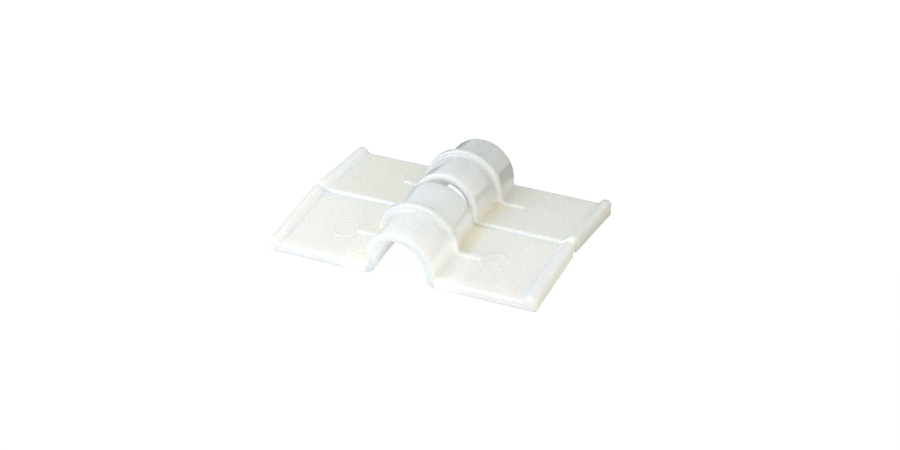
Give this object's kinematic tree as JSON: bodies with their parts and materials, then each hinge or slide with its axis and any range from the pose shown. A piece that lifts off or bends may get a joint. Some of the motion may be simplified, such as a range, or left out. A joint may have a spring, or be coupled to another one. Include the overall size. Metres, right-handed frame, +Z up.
{
  "type": "cable clip",
  "caption": "Moulded plastic cable clip: ribbed arches over the cable between flat lipped wings for nailing, joined end to end at a thin tear web.",
  "frame": {"origin": "on the ground under the middle of the tear web, at the bottom centre of the box", "axes": "+X across the wings, +Y along the cable, +Z up from the surface that the clip lies on"},
  "size_m": [0.05, 0.0358, 0.0112],
  "materials": {
    "natural_plastic": "natural milky plastic, satin gloss, slightly translucent"
  },
  "bodies": {
    "root": {"cable_clip": "natural_plastic"}
  },
  "joints": []
}
